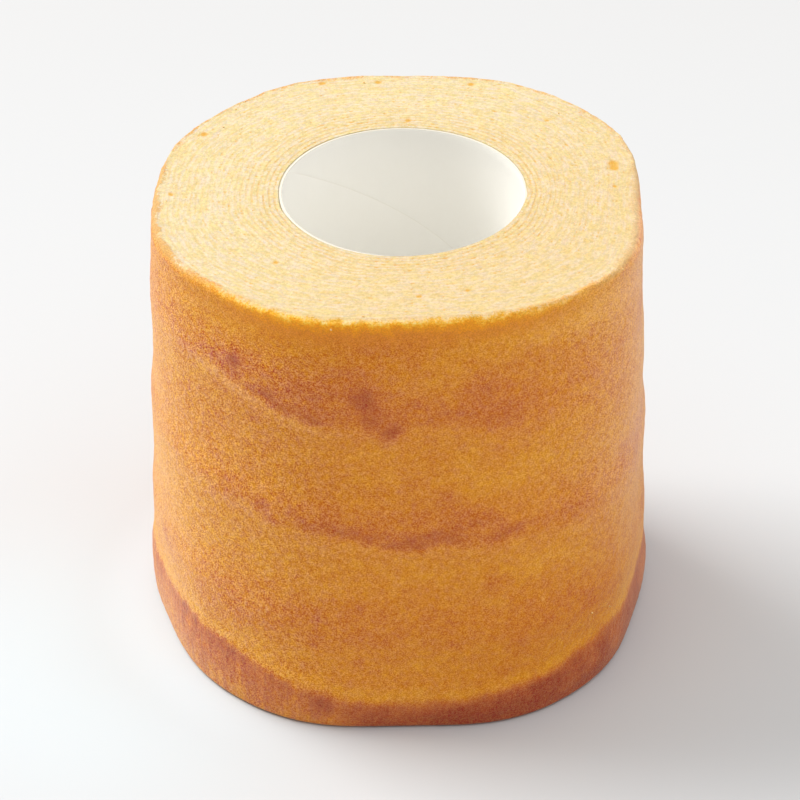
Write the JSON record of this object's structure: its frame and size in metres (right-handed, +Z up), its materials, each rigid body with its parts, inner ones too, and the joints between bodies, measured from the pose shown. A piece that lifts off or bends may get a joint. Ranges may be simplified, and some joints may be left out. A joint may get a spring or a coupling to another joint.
{
  "type": "baumkuchen",
  "caption": "Tall ring cake baked in thin layers round a white paper tube: browned wall with low ridges, flat cut ends showing fine rings, and an open bore.",
  "frame": {"origin": "on the surface it stands on, under the middle of the cake's outline", "axes": "+Z up along the paper tube, from the end it stands on to the cut face on top; -Y is the side shown to the front"},
  "size_m": [0.1568, 0.1494, 0.147],
  "materials": {
    "cake": "soft sponge cake: golden-brown baked skin on the wall, pale yellow crumb on the cut ends",
    "paper": "smooth white spiral-wound paper, slightly satin"
  },
  "bodies": {
    "root": {"cake": "cake", "paper_core": "paper"}
  },
  "joints": []
}
